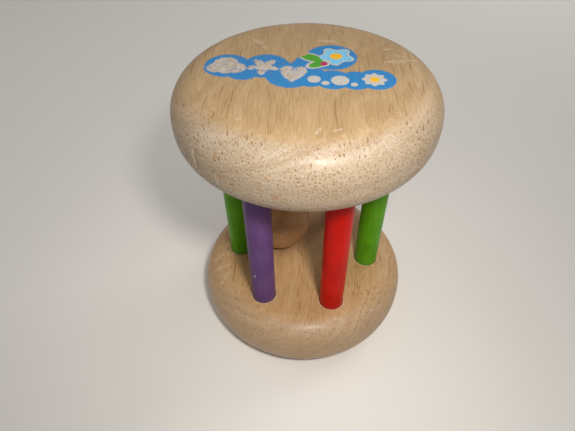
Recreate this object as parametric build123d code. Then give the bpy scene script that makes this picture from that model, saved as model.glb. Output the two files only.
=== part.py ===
from build123d import *
import math
import os

# Wooden baby rattle: two turned discs held apart by a ring of painted bars,
# with a loose ball caged between them.
# Millimetres, +Z up. The origin is the centre of the face the rattle stands on.

# Whole rattle
overall_height = 93.0

# Discs
disc_diameter = 73.0
disc_thickness = 20.0
rim_land = 2.0              # straight band left between a disc's two rounded edges

# Bars, in order round the ring, starting on +X and going towards +Y
bar_names = [
    "green_bar_right",
    "purple_bar_rear",
    "red_bar_rear",
    "green_bar_left",
    "purple_bar_front",
    "red_bar_front",
]
bar_diameter = 8.0
bar_to_edge = 0.4           # flat wood left between a bar and the rounded edge
bar_end_chamfer = 0.6

# Blind sockets that the bars are glued into
socket_depth = 12.0
socket_side_gap = 0.05      # glue film round a bar
socket_end_gap = 0.5        # air left under a bar's end
socket_mouth_break = 0.25

# Ball, at rest on the lower disc and leaning towards two neighbouring bars
ball_over_gap = 6.4         # how much wider the ball is than the gap it could slip out through
ball_floor_gap = 0.2
ball_bar_gap = 0.3
ball_bar_before = 2         # place in bar_names of the first of those two bars

# Sizes that follow
bar_count = len(bar_names)
bar_step = 360.0 / bar_count
half_step = math.radians(bar_step / 2)
disc_radius = disc_diameter / 2
bar_radius = bar_diameter / 2
socket_radius = bar_radius + socket_side_gap
edge_radius = (disc_thickness - rim_land) / 2
bar_ring_radius = disc_radius - edge_radius - bar_to_edge - bar_radius
bar_gap = 2 * bar_ring_radius * math.sin(half_step) - bar_diameter
ball_diameter = bar_gap + ball_over_gap
ball_radius = ball_diameter / 2
cage_floor = disc_thickness
cage_roof = overall_height - disc_thickness
bar_reach = socket_depth - socket_end_gap
bar_length = (cage_roof - cage_floor) + 2 * bar_reach


def bar_ring(z):
    """The places of the bars, on their ring at height z."""
    return Pos(0, 0, z) * PolarLocations(bar_ring_radius, bar_count)


def make_disc():
    """A disc lying on the origin, its sockets open upwards."""
    disc = Cylinder(disc_radius, disc_thickness, align=(Align.CENTER, Align.CENTER, Align.MIN))
    rims = disc.edges().filter_by(GeomType.CIRCLE)
    disc = fillet(rims, edge_radius)

    bore_top = disc_thickness - socket_mouth_break
    bore_length = socket_depth - socket_mouth_break
    bore = Cylinder(socket_radius, bore_length, align=(Align.CENTER, Align.CENTER, Align.MAX))
    mouth = Cone(
        socket_radius,
        socket_radius + socket_mouth_break,
        socket_mouth_break,
        align=(Align.CENTER, Align.CENTER, Align.MIN),
    )
    socket = bore + mouth
    return disc - [place * socket for place in bar_ring(bore_top)]


def make_bar():
    """An upright bar with its lower end on the origin."""
    bar = Cylinder(bar_radius, bar_length, align=(Align.CENTER, Align.CENTER, Align.MIN))
    return chamfer(bar.edges().filter_by(GeomType.CIRCLE), bar_end_chamfer)


def ball_place():
    """Where the ball rests: the same small gap from two bars and just above the disc."""
    angle = math.radians((ball_bar_before + 0.5) * bar_step)
    reach = ball_radius + ball_bar_gap + bar_radius
    half_span = bar_ring_radius * math.sin(half_step)
    out = bar_ring_radius * math.cos(half_step) - math.sqrt(reach**2 - half_span**2)
    return Pos(out * math.cos(angle), out * math.sin(angle), cage_floor + ball_floor_gap + ball_radius)


os.makedirs("parts", exist_ok=True)

lower_disc = make_disc()
export_step(lower_disc, "parts/lower_disc.step")

upper_disc = Pos(0, 0, overall_height) * Rot(180, 0, 0) * make_disc()
export_step(upper_disc, "parts/upper_disc.step")

for name, place in zip(bar_names, bar_ring(cage_floor - bar_reach)):
    export_step(place * make_bar(), f"parts/{name}.step")

export_step(ball_place() * Sphere(ball_radius), "parts/ball.step")

ball_travel = (cage_roof - cage_floor) - ball_diameter - 2 * ball_floor_gap
print(f"ring radius {bar_ring_radius:.3f}, bar length {bar_length:.3f}, ball travel {ball_travel:.3f}")
print(f"ball at {ball_place().position}")
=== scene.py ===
import bpy
import bmesh
import math
import random
from mathutils import Matrix, Vector, noise
from mathutils.kdtree import KDTree


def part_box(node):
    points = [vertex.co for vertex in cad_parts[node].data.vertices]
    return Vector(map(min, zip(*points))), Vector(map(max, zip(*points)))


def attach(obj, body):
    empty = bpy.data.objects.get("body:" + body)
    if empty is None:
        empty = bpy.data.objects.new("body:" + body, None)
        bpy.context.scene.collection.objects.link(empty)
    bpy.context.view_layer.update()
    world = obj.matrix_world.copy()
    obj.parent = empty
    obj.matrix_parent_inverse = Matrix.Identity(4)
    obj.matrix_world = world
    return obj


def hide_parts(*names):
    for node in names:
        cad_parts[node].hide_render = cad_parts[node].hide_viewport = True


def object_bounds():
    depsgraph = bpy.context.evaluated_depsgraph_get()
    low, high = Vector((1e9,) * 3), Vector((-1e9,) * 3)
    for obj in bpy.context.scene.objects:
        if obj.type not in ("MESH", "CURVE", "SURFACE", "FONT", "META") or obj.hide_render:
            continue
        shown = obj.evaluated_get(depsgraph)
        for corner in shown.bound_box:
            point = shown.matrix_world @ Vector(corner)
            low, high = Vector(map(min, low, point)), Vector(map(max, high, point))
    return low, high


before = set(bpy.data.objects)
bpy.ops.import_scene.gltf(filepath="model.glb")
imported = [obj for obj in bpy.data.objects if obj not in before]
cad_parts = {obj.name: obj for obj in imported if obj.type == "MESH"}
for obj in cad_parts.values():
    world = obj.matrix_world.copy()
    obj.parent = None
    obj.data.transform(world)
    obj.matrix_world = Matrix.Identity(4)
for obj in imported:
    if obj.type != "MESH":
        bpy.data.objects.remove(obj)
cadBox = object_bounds()
mm = 0.001

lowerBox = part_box("lower_disc")
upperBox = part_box("upper_disc")
barNames = [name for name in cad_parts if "_bar_" in name]
print("frame loaded,", len(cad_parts), "nodes")


# ---- camera, light and floor

cameraSet = {
    "place": (0.00852, -0.10827, 0.15221),
    "turn": -7.42,        # degrees to the right of +Y
    "down": 46.15,
    "roll": -0.89,
    "lens": 28.5,
    "sensor": 36,
    "nearest": 0.005,     # metres in front of it where things begin to show
}


def makeCamera(s):
    data = bpy.data.cameras.new("camera")
    data.lens = s["lens"]
    data.sensor_width = s["sensor"]
    data.clip_start = s["nearest"]
    camera = bpy.data.objects.new("camera", data)
    camera.matrix_world = (
        Matrix.Translation(s["place"])
        @ Matrix.Rotation(math.radians(-s["turn"]), 4, "Z")
        @ Matrix.Rotation(math.radians(90 - s["down"]), 4, "X")
        @ Matrix.Rotation(math.radians(s["roll"]), 4, "Z")
    )
    bpy.context.scene.collection.objects.link(camera)
    bpy.context.scene.camera = camera


lightSet = {
    # metres, watts and degrees; aim and spread keep most of a lamp's light on the object or its floor
    "key": {"place": (0.036, -0.104, 0.188), "size": 0.024, "power": 0.082, "colour": (1.0, 0.95, 0.88),
            "aim": (0.0, -0.008, 0.015), "spread": 105},
    "fill": {"place": (-0.50, 0.10, 0.45), "size": 0.60, "power": 0.12, "colour": (1.0, 0.98, 0.94),
             "aim": (-0.20, 0.08, 0.0), "spread": 80},
    "back": {"place": (0.45, 0.55, 0.40), "size": 0.60, "power": 0.58, "colour": (1.0, 0.97, 0.93),
             "aim": (0.05, 0.34, 0.0), "spread": 80},
}
skySet = {"Color": (1.0, 0.985, 0.96, 1), "Strength": 0.27}


def makeLights(lights, sky):
    for name, s in lights.items():
        data = bpy.data.lights.new(name, "AREA")
        data.shape = "DISK"
        data.size = s["size"]
        data.energy = s["power"]
        data.spread = math.radians(s["spread"])
        data.color = s["colour"]
        lamp = bpy.data.objects.new(name, data)
        lamp.location = s["place"]
        lamp.rotation_euler = (Vector(s["aim"]) - lamp.location).to_track_quat("-Z", "Y").to_euler()
        lamp.visible_camera = False
        bpy.context.scene.collection.objects.link(lamp)
    world = bpy.data.worlds.new("world")
    bpy.context.scene.world = world
    world.use_nodes = True
    background = world.node_tree.nodes["Background"]
    for key, value in sky.items():
        background.inputs[key].default_value = value


# ---- shader helpers

class Wire:
    # a value on its way through a finish: sums written on it add Math nodes
    def __init__(self, finish, socket):
        self.finish = finish
        self.socket = socket

    def calc(self, operation, *values):
        return self.finish.node("ShaderNodeMath", {"operation": operation}, dict(enumerate(values)))

    def out(self, name):
        return Wire(self.finish, self.socket.node.outputs[name])

    def __add__(self, other):
        return self.calc("ADD", self, other)

    def __sub__(self, other):
        return self.calc("SUBTRACT", self, other)

    def __rsub__(self, other):
        return self.calc("SUBTRACT", other, self)

    def __mul__(self, other):
        return self.calc("MULTIPLY", self, other)

    def __truediv__(self, other):
        return self.calc("DIVIDE", self, other)

    def __pow__(self, other):
        return self.calc("POWER", self, other)

    def __lt__(self, other):
        return self.calc("LESS_THAN", self, other)

    def __abs__(self):
        return self.calc("ABSOLUTE", self)

    def least(self, other):
        return self.calc("MINIMUM", self, other)

    def most(self, other):
        return self.calc("MAXIMUM", self, other)

    def root(self):
        return self.calc("SQRT", self)

    __radd__ = __add__
    __rmul__ = __mul__


class Finish:
    # one material, built a node at a time
    def __init__(self, name):
        self.material = bpy.data.materials.new(name)
        self.material.use_nodes = True
        self.nodes = self.material.node_tree.nodes
        self.links = self.material.node_tree.links
        self.nodes.clear()

    def node(self, kind, settings=None, sockets=None, out=0):
        made = self.nodes.new(kind)
        for key, value in (settings or {}).items():
            setattr(made, key, value)
        for key, value in (sockets or {}).items():
            if isinstance(value, Wire):
                self.links.new(value.socket, made.inputs[key])
            else:
                made.inputs[key].default_value = value
        return Wire(self, made.outputs[out])

    def step(self, value, low, high):
        # 0 below low and 1 above high, smooth between; low may be the larger
        sockets = {"Value": value, "From Min": low, "From Max": high}
        return self.node("ShaderNodeMapRange", {"interpolation_type": "SMOOTHSTEP"}, sockets)

    def mix(self, share, first, second):
        return self.node("ShaderNodeMix", {"data_type": "RGBA"}, {0: share, 6: first, 7: second}, out=2)

    def vector(self, operation, first, second, out=0):
        return self.node("ShaderNodeVectorMath", {"operation": operation}, {0: first, 1: second}, out)

    def stretch(self, place, x, y, z):
        return self.vector("MULTIPLY", place, (x, y, z))

    def scale(self, place, value):
        return self.node("ShaderNodeVectorMath", {"operation": "SCALE"}, {0: place, "Scale": value})

    def parts(self, place):
        apart = self.node("ShaderNodeSeparateXYZ", None, {0: place})
        return apart.out("X"), apart.out("Y"), apart.out("Z")

    def noise(self, place, scale, detail=2, roughness=0.5):
        sockets = {"Vector": place, "Scale": scale, "Detail": detail, "Roughness": roughness}
        return self.node("ShaderNodeTexNoise", None, sockets)

    def stir(self, place, source, scale, detail=2, roughness=0.5, reach=1):
        # moves a place about, so that what is drawn there gets a ragged edge
        swing = self.noise(source, scale, detail, roughness).out("Color")
        swing = self.vector("SUBTRACT", swing, (0.5, 0.5, 0.5))
        return self.vector("ADD", place, self.scale(swing, reach))

    def place(self):
        # where a point of the piece is, in mm
        return self.stretch(self.node("ShaderNodeTexCoord", out="Object"), 1 / mm, 1 / mm, 1 / mm)

    def shade(self, sockets):
        shader = self.node("ShaderNodeBsdfPrincipled", None, sockets)
        self.links.new(shader.socket, self.nodes.new("ShaderNodeOutputMaterial").inputs["Surface"])
        return self.material


def tint(red, green, blue):
    # a colour as a screen shows it, from 0 to 255, made linear
    shares = [((c / 255 + 0.055) / 1.055) ** 2.4 if c > 10 else c / 3295 for c in (red, green, blue)]
    return (*shares, 1)


def most(values):
    top = values[0]
    for value in values[1:]:
        top = top.most(value)
    return top


def least(values):
    bottom = values[0]
    for value in values[1:]:
        bottom = bottom.least(value)
    return bottom


# ---- wood

discWood = {
    "flat": tint(193, 163, 123),       # cut along the grain
    "flatDark": tint(170, 139, 98),
    "end": tint(195, 180, 160),        # cut across the grain
    "endDark": tint(168, 145, 117),
    "vessel": tint(138, 90, 32),
    "stain": tint(168, 112, 44),
    "scuffAndHighlight": tint(232, 218, 196),
    "fleck": tint(236, 222, 202),
    "turn": 5.4,                       # degrees from +Y to the grain, about Z
    "tilt": 3.8,
    "pith": (34.0, -52.0),             # mm from the middle, across the grain
    "wander": 5.0,                     # mm that a vessel strays
    "crowd": 0.006,                    # how many more vessels there are for each mm out to the sides
    "large": {"spread": 1.42, "width": 0.23, "share": 0.75},   # mm between vessels, mm half across
    "small": {"spread": 0.66, "width": 0.12, "share": 0.80},
    # how far painted shade darkens the vertical and downward-facing end grain of the rim
    "steepShade": 0.42,
    "pit": tint(148, 104, 60),
    "torn": {"spread": 0.84, "width": 0.18, "share": 0.70, "dark": 0.95, "pale": 0.26},
    "dash": 0.32,                      # how dark a vessel is where it is cut along
    "gloss": 0.44,
    "coat": 0.14,
}

lowerWood = dict(discWood)
lowerWood.update({
    "flat": tint(194, 158, 114),
    "flatDark": tint(172, 134, 90),
    "end": tint(190, 163, 131),
    "endDark": tint(166, 135, 102),
    "fleck": tint(212, 190, 160),
    "tilt": 6.5,
    "pith": (-28.0, 60.0),
    "dash": 0.62,
    "large": {"spread": 1.30, "width": 0.22, "share": 0.70},
    "torn": {"spread": 0.84, "width": 0.14, "share": 0.60, "dark": 0.40, "pale": 0.18},
})
# the ball's wood is warmer and more orange than the discs': partly its own amber tone, partly painted warm
# bounce light of its shaded place in the cage
ballWood = dict(discWood)
ballWood.update({
    "flat": tint(202, 155, 101),
    "flatDark": tint(176, 125, 74),
    "end": tint(196, 153, 106),
    "endDark": tint(170, 121, 76),
    "fleck": tint(212, 172, 124),
    "vessel": tint(142, 94, 50),
    "turn": 62.0,
    "pith": (9.0, 20.0),
    "large": {"spread": 1.35, "width": 0.15, "share": 0.60},
    "torn": {"spread": 0.84, "width": 0.12, "share": 0.40, "dark": 0.15, "pale": 0.08},
})


grainSet = {
    # how fine each variation is, in waves for each mm
    "drift": 0.05,
    "rings": {"Scale": 0.55, "Detail": 5, "Roughness": 0.66},
    "fibre": (2.6, 0.07, 2.6),          # long along the grain
    "cloud": 0.09,
    "crowd": 0.09,
    "grit": 1.9,
    "fleck": 2.7,
    "crumb": 1.6,
    # where each one begins to show and where it is full
    "endSpan": (0.05, 0.55),
    "flatTone": (0.36, 0.66),
    "endTone": (0.38, 0.62),
    "fleckSpan": (0.56, 0.68),
    "crowdSpan": (0.42, 0.66),
    "steepSpan": (0.85, 0.25),
    "crumbSpan": (0.54, 0.64),
    # how much of its colour each one adds at most
    "fleckShare": 0.36,
    "smallShare": 0.60,
    "largeShare": 0.85,
    "stainShare": 0.9,
    "ringShare": 0.36,
    "lineShare": 0.56,
    # mm beyond a bar where its pale ring ends, and where it is full
    "ringOut": 0.75,
    "ringIn": 0.35,
    "bump": {"Strength": 0.60, "Distance": 0.25 * mm},
    "coatRough": 0.25,
    "specular": 0.35,
}


def vessels(f, tube, s):
    # tubes along the grain: dots where the wood is cut across, dashes where it is cut along
    settings = {"voronoi_dimensions": "2D"}
    near = f.node("ShaderNodeTexVoronoi", settings, {"Vector": tube, "Scale": 1 / s["spread"]})
    luck = f.node("ShaderNodeSeparateColor", None, {0: near.out("Color")})
    size = (luck.out("Green") * 0.6 + 0.4) * (s["width"] / s["spread"])
    return f.step(near, size * 1.3, size * 0.7) * (luck.out("Red") < s["share"])


def stroke(f, place, facing, start, stop, width):
    # a thin mark over the surface from start to stop that fades at its sides
    run = Vector(stop) - Vector(start)
    out = f.vector("SUBTRACT", place, start)
    share = f.vector("DOT_PRODUCT", out, run / run.length_squared, "Value").most(0).least(1)
    off = f.vector("SUBTRACT", out, f.scale(run, share))
    deep = f.vector("DOT_PRODUCT", off, facing, "Value")
    away = f.vector("DISTANCE", off, f.scale(facing, deep), "Value")
    return f.step(away, width * 1.6, 0) * f.step(abs(deep), 2.4, 1.4)


def mouths(f, flow, wear):
    # the pale ring of bare wood round each bar, on the disc's inner face
    level = f.stretch(flow, 1, 1, 0)
    boxes = [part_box(name) for name in barNames]
    middles = [(box[0] + box[1]) / (2 * mm) for box in boxes]
    radius = (boxes[0][1].x - boxes[0][0].x) / (2 * mm)
    away = [f.vector("DISTANCE", level, (middle.x, middle.y, 0), "Value") for middle in middles]
    _, _, z = f.parts(flow)
    ring = f.step(least(away), radius + grainSet["ringOut"], radius + grainSet["ringIn"])
    return ring * f.step(abs(z - wear["face"]), 1.0, 0.5)


def worn(f, flow, facing, grit, s, wear, colour, rough, height):
    # stains, scuffs, a rubbed rim, pale rings round the bars and single open vessels, and along the upper
    # disc's gouge a painted highlight and a painted shadow
    g = grainSet
    shaken = f.stir(flow, flow, 0.8, 3)
    stirred = f.stir(flow, flow, 0.30, 2, reach=0.9)
    torn = f.stir(shaken, flow, 1.1, 3, 0.7)
    stains = most([f.step(f.vector("DISTANCE", torn, spot[:3], "Value"), spot[3], 0)
                   for spot in wear["stains"]])
    colour = f.mix(stains * f.step(grit, 0.38, 0.60) * g["stainShare"], colour, s["stain"])

    side, front, _ = f.parts(flow)
    rimOff = abs((side ** 2 + front ** 2).root() - wear["rim"])
    rubbed = f.step(rimOff, 2.0, 0.2) * f.step(f.noise(flow, 0.55, 4, 0.7), 0.50, 0.68)
    colour = f.mix(rubbed * wear["rub"], colour, s["scuffAndHighlight"])

    marks = most([stroke(f, shaken, facing, *mark) for mark in wear["scuffsAndHighlight"]])
    marks = marks * f.step(f.noise(flow, 1.6, 4, 0.7), 0.36, 0.60)
    colour = f.mix(marks * wear["strength"], colour, s["scuffAndHighlight"])
    colour = f.mix(mouths(f, flow, wear) * f.step(grit, 0.40, 0.58) * g["ringShare"], colour, s["scuffAndHighlight"])

    vesselsAndShadow = most([stroke(f, stirred, facing, *line) for line in wear["vesselsAndShadow"]])
    vesselsAndShadow = vesselsAndShadow * f.step(f.noise(flow, 0.9, 3, 0.7), 0.34, 0.48)
    colour = f.mix(vesselsAndShadow * g["lineShare"], colour, s["vessel"])
    return colour, rough + marks * 0.12, height - marks * 0.3 - vesselsAndShadow * 0.6


def woodFinish(name, s, wear=None, cover=None):
    f = Finish(name)
    g = grainSet
    flow = f.place()
    turned = {"Vector": flow, "Rotation": (math.radians(s["tilt"]), 0, math.radians(-s["turn"]))}
    place = f.node("ShaderNodeMapping", None, turned)      # Y along the grain

    x, _, z = f.parts(place)
    drift = f.node("ShaderNodeSeparateColor", None, {0: f.noise(place, g["drift"], 1).out("Color")})
    x = x + (drift.out("Red") - 0.5) * s["wander"]
    z = z + (drift.out("Blue") - 0.5) * s["wander"]
    reach = ((x - s["pith"][0]) ** 2 + (z - s["pith"][1]) ** 2).root()
    rings = f.node("ShaderNodeTexNoise", {"noise_dimensions": "1D"}, {"W": reach, **g["rings"]})
    fibre = f.noise(f.stretch(place, *g["fibre"]), 1, 5, 0.72)
    cloud = f.noise(place, g["cloud"], 3)
    grit = f.noise(place, g["grit"], 4, 0.75)

    grainWay = Matrix.Rotation(math.radians(s["turn"]), 3, "Z") @ Vector((0, 1, 0))
    facing = f.node("ShaderNodeTexCoord", out="Normal")
    along = f.vector("DOT_PRODUCT", facing, grainWay, "Value")
    endShare = f.step(abs(along) + (cloud - 0.5) * 0.25, *g["endSpan"])
    flat = f.mix(f.step(rings * 0.3 + fibre * 0.7, *g["flatTone"]), s["flat"], s["flatDark"])
    end = f.mix(f.step(rings * 0.25 + cloud * 0.25 + grit * 0.5, *g["endTone"]), s["end"], s["endDark"])
    flecks = f.step(f.noise(place, g["fleck"], 2, 0.6), *g["fleckSpan"])
    end = f.mix(flecks * g["fleckShare"], end, s["fleck"])
    colour = f.mix(endShare, flat, end)

    tube = f.node("ShaderNodeCombineXYZ", None, {"X": x, "Y": z})
    crowd = f.step(f.noise(tube, g["crowd"], 2) + abs(x) * s["crowd"], *g["crowdSpan"])
    large = vessels(f, tube, s["large"]) * (crowd * 0.7 + 0.3)
    small = vessels(f, tube, s["small"]) * (endShare * 0.7 + 0.3)
    colour = f.mix(small * g["smallShare"], colour, s["vessel"])
    colour = f.mix(large * (endShare * (g["largeShare"] - s["dash"]) + s["dash"]), colour, s["vessel"])

    # the steep part of the rim, where the sander tore the cut ends; there the end grain also gets painted
    # shade
    _, _, up = f.parts(facing)
    steepEndGrain = endShare * f.step(up, *g["steepSpan"])
    pits = vessels(f, tube, s["torn"]) * steepEndGrain
    # painted shade: the vertical and downward-facing end grain of the rim is darkened towards endDark
    colour = f.mix(steepEndGrain * s["steepShade"], colour, s["endDark"])
    crumbs = f.noise(f.stretch(place, 1.1, 1.1, -1.1), g["crumb"], 3, 0.6)
    crumbs = f.step(crumbs, *g["crumbSpan"]) * steepEndGrain
    colour = f.mix(crumbs * s["torn"]["pale"], colour, s["fleck"])
    colour = f.mix(pits * s["torn"]["dark"], colour, s["pit"])

    rough = grit * 0.14 + (s["gloss"] - 0.07) + large * 0.12
    height = fibre * 0.10 - large * 0.8 - small * 0.5 + (grit + flecks * 0.4) * endShare * 0.35
    height = height + (crumbs * 0.5 - pits) * s["torn"]["dark"]
    if wear:
        colour, rough, height = worn(f, flow, facing, grit, s, wear, colour, rough, height)
    if cover:
        colour, rough, height = cover(f, flow, colour, rough, height)

    bump = f.node("ShaderNodeBump", None, {"Height": height, **g["bump"]})
    return f.shade({
        "Base Color": colour,
        "Roughness": rough,
        "Normal": bump,
        "Coat Weight": s["coat"],
        "Coat Roughness": g["coatRough"],
        "Specular IOR Level": g["specular"],
    })


# ---- the printed picture: a bank of clouds with a puff, a star, a heart, bubbles and two flowers

pictureSet = {
    "blue": tint(42, 130, 196),
    "white": tint(198, 194, 190),
    "dirt": tint(190, 174, 154),
    "leaf": tint(74, 160, 40),
    "petal": tint(128, 200, 238),
    "middle": tint(244, 186, 30),
    "bud": tint(180, 24, 104),
    # middles and radii in mm, from the middle of the disc's face
    "bank": [(-21.4, 1.2, 6.0), (-16.4, -1.0, 4.8), (-11.0, 2.0, 6.2), (-4.0, -2.0, 6.4), (1.2, -2.6, 4.8),
             (7.0, -3.4, 4.6), (12.8, -3.2, 4.4), (18.0, -2.2, 4.9), (6.0, 8.4, 6.9), (0.6, 4.6, 4.4)],
    "puff": [(-24.0, -0.2, 2.4), (-21.8, 2.2, 3.4), (-18.6, 0.2, 2.6), (-21.2, -0.8, 2.2)],
    "star": (-11.6, 1.6, 4.4),
    "heart": (-3.4, -2.6, 4.1),
    "bubbles": [(2.2, -3.6, 1.7), (5.2, -5.2, 1.0), (8.8, -3.6, 2.3), (12.4, -5.2, 0.9)],
    "daisy": (17.4, -2.3, 3.2),
    "daisyMiddle": 1.2,
    "flower": (7.2, 9.0, 4.6),
    "flowerMiddle": 1.7,
    "leaves": [(0.6, 7.6, 3.4, 1.7, 152), (2.6, 4.2, 2.6, 1.4, 214)],      # then half sizes and turn
    "stem": (4.2, 4.6, 1.0),
    "wornBefore": 4.0,                  # mm: the picture is worn to the left of this
    "wornOver": 9.0,                    # mm over which the wear sets in
    "jag": {"worn": 2.2, "new": 0.3},   # mm that an edge strays
    "border": 0.55,                     # mm of white round the flower
    "crisp": 0.10,                      # mm over which an edge fades
}


def roundSpot(x, y, spot):
    return ((x - spot[0]) ** 2 + (y - spot[1]) ** 2).root() - spot[2]


def rays(x, y, spot, count, depth, turn=0.0):
    # a round shape with count soft arms
    angle = (y - spot[1]).calc("ARCTAN2", y - spot[1], x - spot[0])
    arms = (angle * count + math.radians(turn)).calc("COSINE", angle * count + math.radians(turn))
    return roundSpot(x, y, spot) + (1 - arms) * (depth * spot[2])


def leafShape(x, y, leaf):
    turn = math.radians(leaf[4])
    u = (x - leaf[0]) * math.cos(turn) + (y - leaf[1]) * math.sin(turn)
    v = (y - leaf[1]) * math.cos(turn) - (x - leaf[0]) * math.sin(turn)
    return (((u / leaf[2]) ** 2 + (v / leaf[3]) ** 2).root() - 1) * leaf[3]


def heartShape(x, y, heart):
    u = abs(x - heart[0]) / heart[2]
    v = (y - heart[1]) / heart[2]
    return ((u ** 2 + (v - u.root() * 0.75) ** 2).root() - 0.85) * heart[2]


def picture(f, flow, colour, rough, height):
    s = pictureSet
    x, y, z = f.parts(flow)
    age = f.step(x, s["wornBefore"], s["wornBefore"] - s["wornOver"])
    jag = age * s["jag"]["worn"] + s["jag"]["new"]
    x = x + (f.noise(flow, 1.7, 3, 0.7) - 0.5) * jag
    y = y + (f.noise(f.stretch(flow, -1.3, 1.1, 1), 1.7, 3, 0.7) - 0.5) * jag

    flower = rays(x, y, s["flower"], 5, 0.16, 90)
    leaves = least([leafShape(x, y, leaf) for leaf in s["leaves"]])
    stem = roundSpot(x, y, s["stem"])
    white = least([
        least([roundSpot(x, y, spot) for spot in s["puff"] + s["bubbles"]]),
        rays(x, y, s["star"], 5, 0.26, 90),
        heartShape(x, y, s["heart"]),
        rays(x, y, s["daisy"], 8, 0.10),
        least([flower, leaves, stem]) - s["border"],
    ])
    bank = least([roundSpot(x, y, spot) for spot in s["bank"]])

    crisp = s["crisp"]
    bare = f.step(f.noise(flow, 0.9, 3, 0.7), 0.58, 0.64) * age      # blue that shows through rubbed white
    pale = f.mix(age * f.step(f.noise(flow, 0.6, 3, 0.7), 0.36, 0.60), s["white"], s["dirt"])
    ink = f.mix(f.step(white, crisp, -crisp) * (1 - bare), s["blue"], pale)
    ink = f.mix(f.step(leaves, crisp, -crisp), ink, s["leaf"])
    ink = f.mix(f.step(flower, crisp, -crisp), ink, s["petal"])
    flowerMiddle = roundSpot(x, y, (*s["flower"][:2], s["flowerMiddle"]))
    ink = f.mix(f.step(flowerMiddle, crisp, -crisp), ink, s["middle"])
    ink = f.mix(f.step(stem, crisp, -crisp), ink, s["bud"])
    daisyMiddle = roundSpot(x, y, (*s["daisy"][:2], s["daisyMiddle"]))
    ink = f.mix(f.step(daisyMiddle, crisp, -crisp), ink, s["middle"])

    rub = f.noise(f.stretch(flow, 2.1, 0.9, 1), 1, 5, 0.75)
    kept = f.step(rub + age * 0.04, 0.69, 0.63)
    onTop = f.step(z, cadBox[1].z / mm - 0.4, cadBox[1].z / mm - 0.2)
    cover = f.step(bank, crisp, -crisp) * kept * onTop
    return f.mix(cover, colour, ink), rough + cover * 0.06, height + cover * 0.25


# ---- paint

paintSet = {
    "green": {"colour": tint(94, 160, 22), "dark": tint(80, 141, 17)},
    "purple": {"colour": tint(105, 73, 125), "dark": tint(94, 63, 114)},
    "red": {"colour": tint(201, 18, 4), "dark": tint(182, 14, 3)},
}
paintCommon = {
    "chip": tint(210, 192, 172),        # the bare wood in a chip
    "smudge": tint(60, 34, 30),
    "chipShare": 0.75,
    "smudgeShare": 0.40,
    "lumpShare": 0.28,
    "seatReach": 2.6,                   # mm of a bar beside its socket that glue has reached
    "bump": {"Strength": 0.25, "Distance": 0.10 * mm},
    "specular": 0.09,
}
paintWear = {
    # middles and radii in mm of chips and smudges, on each bar
    "purple_bar_front": {"chips": [(-13.4, -23.5, 34.0, 0.36)], "smudges": [(-9.6, -23.5, 60.0, 1.6)]},
    "red_bar_front": {"chips": [(9.9, -16.3, 66.0, 0.30)], "smudges": [(10.7, -23.9, 48.5, 1.7)]},
    "green_bar_right": {"chips": [(26.2, 2.5, 41.0, 0.40)], "smudges": [(22.6, -4.0, 30.0, 1.5)]},
    "green_bar_left": {"chips": [(-25.4, 3.2, 57.0, 0.36)], "smudges": [(-24.0, -3.9, 36.0, 1.4)]},
    "purple_bar_rear": {"chips": [(13.4, 23.5, 29.0, 0.45)], "smudges": [(9.0, 23.2, 52.0, 1.6)]},
    "red_bar_rear": {"chips": [(-9.4, 23.4, 62.0, 0.38)], "smudges": [(-13.8, 23.4, 40.0, 1.5)]},
}


def paintFinish(name, s, wear):
    f = Finish(name)
    p = paintCommon
    place = f.place()
    _, _, z = f.parts(place)
    cloud = f.noise(place, 0.10, 3)
    grain = f.noise(f.stretch(place, 2.2, 2.2, 0.10), 1, 3, 0.6)
    fine = f.noise(place, 2.6, 3, 0.7)
    colour = f.mix(f.step(cloud * 0.6 + grain * 0.4, 0.38, 0.62), s["colour"], s["dark"])

    # glue and paint run together just outside the sockets
    cageFloor = lowerBox[1].z / mm
    cageRoof = upperBox[0].z / mm
    below = f.step(z, cageFloor + p["seatReach"], cageFloor)
    lumps = below.most(f.step(z, cageRoof - p["seatReach"], cageRoof)) * f.step(fine, 0.46, 0.66)
    paleColour = [c * 0.4 + 0.3 for c in s["colour"][:3]]
    colour = f.mix(lumps * p["lumpShare"], colour, (*paleColour, 1))

    shaken = f.stir(place, place, 1.6, 2)
    smudges = most([f.step(f.vector("DISTANCE", place, spot[:3], "Value"), spot[3], spot[3] * 0.2)
                    for spot in wear["smudges"]])
    smudges = smudges * f.step(fine, 0.42, 0.60)
    colour = f.mix(smudges * p["smudgeShare"], colour, p["smudge"])
    chips = most([f.step(f.vector("DISTANCE", shaken, spot[:3], "Value"), spot[3] * 1.3, spot[3] * 0.8)
                  for spot in wear["chips"]])
    colour = f.mix(chips * p["chipShare"], colour, p["chip"])

    rough = fine * 0.14 + 0.28 + chips * 0.3 + smudges * 0.15
    height = grain * 0.4 + lumps * 1.2 - chips * 1.5
    bump = f.node("ShaderNodeBump", None, {"Height": height, **p["bump"]})
    return f.shade({
        "Base Color": colour,
        "Roughness": rough,
        "Normal": bump,
        "Specular IOR Level": p["specular"],
    })


# ---- turned pieces

turnSet = {
    "onAxis": 1e-7,         # metres: a ring narrower than this is one point
    "rippleSize": 7.0,      # mm between the ripples of a skin
    "sharpAngle": 32,       # degrees: edges sharper than this stay sharp
}


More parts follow.
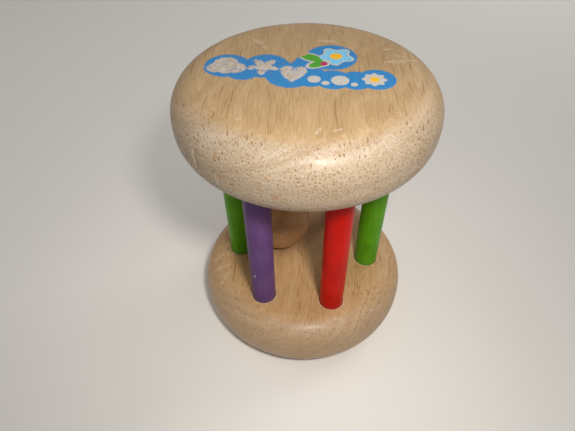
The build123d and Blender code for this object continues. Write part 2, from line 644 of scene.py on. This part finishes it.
def turn(name, profile, segments):
    # profile is (radius, height) from one end of the axis to the other
    mesh = bmesh.new()
    rings = []
    for radius, height in profile:
        if radius < turnSet["onAxis"]:
            rings.append([mesh.verts.new((0, 0, height))])
            continue
        angles = [2 * math.pi * k / segments for k in range(segments)]
        rings.append([mesh.verts.new((radius * math.cos(a), radius * math.sin(a), height)) for a in angles])
    for low, high in zip(rings, rings[1:]):
        for k in range(segments):
            n = (k + 1) % segments
            corners = [low[k % len(low)], low[n % len(low)], high[n % len(high)], high[k % len(high)]]
            mesh.faces.new(list(dict.fromkeys(corners)))
    bmesh.ops.recalc_face_normals(mesh, faces=mesh.faces)
    data = bpy.data.meshes.new(name)
    mesh.to_mesh(data)
    mesh.free()
    piece = bpy.data.objects.new(name, data)
    bpy.context.scene.collection.objects.link(piece)
    return piece


def arc(middle, radius, start, stop, steps):
    angles = [math.radians(start + (stop - start) * k / steps) for k in range(steps + 1)]
    return [(middle[0] + radius * math.cos(a), middle[1] + radius * math.sin(a)) for a in angles]


def dent(piece, dents, ripple):
    # presses dents into a piece, and lets its skin drift inwards by up to ripple
    data = piece.data
    tree = KDTree(len(data.vertices))
    for v in data.vertices:
        tree.insert(v.co, v.index)
    tree.balance()
    size = turnSet["rippleSize"] * mm
    push = [ripple * (0.5 + 0.5 * noise.noise(v.co / size)) for v in data.vertices]
    for spot, reach, depth in dents:
        for _, index, away in tree.find_range(spot, reach):
            push[index] += depth * (1 - (away / reach) ** 2) ** 2
    normals = [v.normal.copy() for v in data.vertices]
    for v in data.vertices:
        v.co -= normals[v.index] * push[v.index]


def smooth(piece):
    piece.data.shade_smooth()
    piece.data.set_sharp_from_angle(angle=math.radians(turnSet["sharpAngle"]))


def handOver(piece, node, body, material):
    smooth(piece)
    piece.data.materials.clear()
    piece.data.materials.append(material)
    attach(piece, body)
    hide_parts(node)
    print(piece.name, "made,", len(piece.data.polygons), "faces")


# ---- discs

discSet = {
    # mm
    "edge": 9.0,                        # radius of both rounded edges
    "segments": 480,
    "arcSteps": 36,
    "landSteps": 4,
    "flatStep": 1.2,
    "ripple": 0.05,
    "dings": 16,
    "dingReach": (0.9, 2.2),
    "dingDepth": (0.03, 0.09),
    "dingLean": 70,                     # degrees up or down from the widest part
    "gougeSteps": 11,
    "gougeReach": 1.1,
    "gougeDepth": 0.09,                 # of each step; they overlap
    "socketGap": 0.05,
    "socketDepth": 12.0,
    "mouthBreak": 0.25,
    "socketSegments": 72,
}
# in the next two a stain is a middle and a radius, in mm; a scuff or a line is its two ends and half
# its width; lines are single open vessels, and face is the height of the disc's inner face; on the upper
# disc two scuffs along the gouge are also painted highlight, and one line beside it is painted shadow
lowerWear = {
    "seed": 3,
    "stains": [(18.4, -27.2, 18.2, 1.0), (-6.0, -33.5, 14.5, 0.9)],
    "scuffsAndHighlight": [((-32.6, -11.8, 16.4), (-26.2, -9.5, 20.0), 0.75),
               ((-27.4, -16.6, 18.8), (-25.3, -12.6, 20.0), 0.85),
               ((-31.9, -6.6, 18.4), (-29.9, -4.9, 19.6), 0.85),
               ((-29.9, -11.1, 18.9), (-28.2, -8.9, 19.8), 0.50),
               ((13.0, -27.4, 19.4), (15.6, -26.8, 19.4), 0.50),
               ((24.0, -21.8, 17.6), (26.8, -20.6, 17.0), 0.30)],
    "strength": 0.32,
    "rim": 28.2,                        # mm from the axis, where the flat begins to turn down
    "rub": 0.16,
    "vesselsAndShadow": [((-0.2, -17.6, 20.0), (-0.2, -20.5, 20.0), 0.22),
              ((1.5, -22.4, 20.0), (1.1, -25.6, 20.0), 0.24),
              ((22.7, -8.1, 20.0), (22.2, -10.3, 20.0), 0.24),
              ((24.4, -15.4, 19.9), (24.2, -16.9, 19.8), 0.26),
              ((20.7, -12.7, 20.0), (20.3, -14.8, 20.0), 0.22)],
    "face": lowerBox[1].z / mm,
    "gouge": [],
}
upperWear = {
    "seed": 5,
    "stains": [(-17.6, -30.8, 88.1, 1.3), (-16.3, -32.6, 83.8, 1.6), (-13.8, -33.8, 82.6, 1.1),
               (-5.4, -35.5, 87.0, 0.9), (-7.1, -35.7, 84.9, 1.1), (-3.6, -36.3, 82.0, 1.4),
               (-0.7, -13.6, 93.0, 1.0)],
    "scuffsAndHighlight": [((19.9, 7.0, 93.0), (28.8, 9.2, 93.0), 0.44),
               ((22.3, 6.4, 93.0), (25.4, 7.4, 93.0), 0.30),
               ((23.6, 11.0, 93.0), (25.3, 10.4, 93.0), 0.36),
               ((20.4, 14.2, 93.0), (22.6, 15.0, 93.0), 0.32),
               ((-15.9, 16.4, 93.0), (-14.5, 15.0, 93.0), 0.95),
               ((-13.2, 12.5, 93.0), (-12.4, 12.0, 93.0), 0.46),
               ((2.2, 17.9, 93.0), (6.4, 17.6, 93.0), 0.66),
               ((4.4, -26.6, 93.0), (5.2, -24.6, 93.0), 0.44),
               ((8.0, -25.4, 93.0), (9.9, -24.4, 93.0), 0.34),
               ((-13.7, -22.9, 93.0), (-13.2, -22.4, 93.0), 0.40),
               ((-18.4, -31.9, 83.0), (-17.6, -32.0, 80.6), 0.40),
               # the next two pale strokes along the gouge are cracked lacquer and painted highlight on its
               # ridge
               ((-24.4, -26.9, 86.8), (-24.0, -27.6, 81.6), 0.34),
               ((-25.2, -26.0, 87.6), (-25.0, -26.6, 85.0), 0.25)],
    "strength": 0.55,
    "rim": 28.2,
    "rub": 0.18,
    "vesselsAndShadow": [((-19.9, -9.0, 93.0), (-20.2, -15.2, 93.0), 0.15),
              ((-17.1, -10.8, 93.0), (-16.6, -22.7, 93.0), 0.15),
              ((-22.9, -14.5, 93.0), (-23.0, -19.6, 92.6), 0.14),
              ((-19.7, -20.7, 92.9), (-19.9, -22.7, 92.6), 0.20),
              ((26.8, 6.8, 93.0), (26.8, 4.1, 93.0), 0.13),
              ((29.2, -1.4, 92.8), (29.3, -5.9, 92.7), 0.13),
              ((24.0, -10.9, 93.0), (24.3, -14.5, 93.0), 0.13),
              ((20.7, -13.4, 93.0), (20.7, -16.4, 93.0), 0.13),
              # painted shadow along the gouge's side, drawn as a dark line
              ((-23.7, -27.6, 86.0), (-23.4, -28.2, 82.2), 0.26)],
    "face": upperBox[0].z / mm,
    "gouge": [(-23.8, -27.2, 86.6), (-23.4, -28.0, 81.8)],
}


def dings(s, box, seed):
    # small knocks round the widest part of a disc
    luck = random.Random(seed)
    found = []
    radius = box[1].x
    for _ in range(s["dings"]):
        angle = luck.uniform(0, 2 * math.pi)
        lean = luck.uniform(-s["dingLean"], s["dingLean"])
        edge = s["edge"] * mm
        out = radius - edge + edge * math.cos(math.radians(lean))
        middle = (box[0].z + box[1].z) / 2
        height = middle + edge * math.sin(math.radians(lean))
        spot = (out * math.cos(angle), out * math.sin(angle), height)
        found.append((spot, luck.uniform(*s["dingReach"]) * mm, luck.uniform(*s["dingDepth"]) * mm))
    return found


def socketCutter(face, into, s):
    # six blind holes, one mesh each; into is +1 or -1, the way the holes go
    cutters = []
    for name in barNames:
        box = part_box(name)
        radius = (box[1].x - box[0].x) / 2 + s["socketGap"] * mm
        wide = radius + s["mouthBreak"] * mm
        profile = [(0, -into * mm), (wide, -into * mm), (wide, 0), (radius, into * s["mouthBreak"] * mm),
                   (radius, into * s["socketDepth"] * mm), (0, into * s["socketDepth"] * mm)]
        cutter = turn("cutter", profile, s["socketSegments"])
        middle = (box[0] + box[1]) / 2
        cutter.data.transform(Matrix.Translation((middle.x, middle.y, face)))
        cutters.append(cutter)
    return cutters


def turnedDisc(node, face, into, wear, s):
    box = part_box(node)
    radius = box[1].x
    edge = s["edge"] * mm
    flat = radius - edge
    low, high = box[0].z, box[1].z
    count = round(flat / (s["flatStep"] * mm))
    rings = [flat * k / count for k in range(count)]
    land = (high - low) - 2 * edge
    profile = [(r, low) for r in rings]
    profile += arc((flat, low + edge), edge, -90, 0, s["arcSteps"])
    profile += [(radius, low + edge + land * k / s["landSteps"]) for k in range(1, s["landSteps"])]
    profile += arc((flat, high - edge), edge, 0, 90, s["arcSteps"])
    profile += [(r, high) for r in reversed(rings)]
    piece = turn(node + "_turned", profile, s["segments"])

    marks = dings(s, box, wear["seed"])
    if wear["gouge"]:
        start, stop = [Vector(end) * mm for end in wear["gouge"]]
        steps = s["gougeSteps"]
        reach, depth = s["gougeReach"] * mm, s["gougeDepth"] * mm
        marks += [(start.lerp(stop, k / steps), reach, depth) for k in range(steps + 1)]
    dent(piece, marks, s["ripple"] * mm)

    for cutter in socketCutter(face, into, s):
        hole = piece.modifiers.new("socket", "BOOLEAN")
        hole.operation = "DIFFERENCE"
        hole.solver = "EXACT"
        hole.object = cutter
        cut = piece.evaluated_get(bpy.context.evaluated_depsgraph_get())
        data = bpy.data.meshes.new_from_object(cut)
        piece.modifiers.clear()
        piece.data = data
        bpy.data.objects.remove(cutter)
    return piece


# ---- bars

barSet = {
    "segments": 72,
    "step": 0.9,                        # mm between rings
    "chamfer": 0.6,
    "ripple": 0.035,
    "chipDepth": 0.09,
    "chipSpread": 2,                    # how far a dent reaches, in radii of its chip
}


def turnedBar(node, s):
    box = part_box(node)
    middle = (box[0] + box[1]) / 2
    radius = (box[1].x - box[0].x) / 2
    chamfer = s["chamfer"] * mm
    low, high = box[0].z + chamfer, box[1].z - chamfer
    count = round((high - low) / (s["step"] * mm))
    profile = [(0, box[0].z), (radius - chamfer, box[0].z)]
    profile += [(radius, low + (high - low) * k / count) for k in range(count + 1)]
    profile += [(radius - chamfer, box[1].z), (0, box[1].z)]
    piece = turn(node + "_painted", profile, s["segments"])
    piece.data.transform(Matrix.Translation((middle.x, middle.y, 0)))
    spread, depth = s["chipSpread"] * mm, s["chipDepth"] * mm
    chips = [(Vector(spot[:3]) * mm, spot[3] * spread, depth) for spot in paintWear[node]["chips"]]
    dent(piece, chips, s["ripple"] * mm)
    return piece


# ---- ball

ballSet = {
    "segments": 128,
    "steps": 96,
    "axis": (0.82, 0.55, 0.14),         # the way it lay in the lathe
    "nub": 1.5,                         # mm from the middle of a cut end to its edge
    "nubDepth": 0.07,
    "ripple": 0.05,
    "dings": 9,
    "dingReach": (0.9, 1.9),
    "dingDepth": (0.03, 0.08),
    "seed": 7,
}


def turnedBall(node, s):
    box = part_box(node)
    middle = (box[0] + box[1]) / 2
    radius = (box[1].x - box[0].x) / 2
    piece = turn(node + "_turned", arc((0, 0), radius, -90, 90, s["steps"]), s["segments"])
    luck = random.Random(s["seed"])
    ends = [(Vector((0, 0, side * radius)), s["nub"] * mm, s["nubDepth"] * mm) for side in (-1, 1)]
    knocks = []
    for _ in range(s["dings"]):
        way = Vector([luck.gauss(0, 1) for _ in range(3)]).normalized()
        knocks.append((way * radius, luck.uniform(*s["dingReach"]) * mm, luck.uniform(*s["dingDepth"]) * mm))
    dent(piece, ends + knocks, s["ripple"] * mm)
    lay = Vector(s["axis"]).to_track_quat("Z", "Y").to_matrix().to_4x4()
    piece.data.transform(Matrix.Translation(middle) @ lay)
    return piece


floorSet = {
    "size": 6,
    "paper": {"Base Color": tint(238, 236, 232), "Roughness": 0.8},
}


makeCamera(cameraSet)
makeLights(lightSet, skySet)
bpy.context.scene.view_settings.view_transform = "Standard"
print("camera and lights set")

lowerDisc = turnedDisc("lower_disc", lowerBox[1].z, -1, lowerWear, discSet)
lowerFinish = woodFinish("lowerDiscWood", lowerWood, lowerWear)
handOver(lowerDisc, "lower_disc", "cage", lowerFinish)
upperDisc = turnedDisc("upper_disc", upperBox[0].z, 1, upperWear, discSet)
upperFinish = woodFinish("upperDiscWood", discWood, upperWear, picture)
handOver(upperDisc, "upper_disc", "cage", upperFinish)
for name in barNames:
    paint = name.split("_")[0]
    finish = paintFinish(name + "_paint", paintSet[paint], paintWear[name])
    handOver(turnedBar(name, barSet), name, "cage", finish)
handOver(turnedBall("ball", ballSet), "ball", "ball", woodFinish("looseBallWood", ballWood))

bpy.ops.mesh.primitive_plane_add(size=floorSet["size"], location=(0, 0, 0))
floor = bpy.context.object
floor.name = "floor"
paper = Finish("paper")
floor.data.materials.append(paper.shade(floorSet["paper"]))
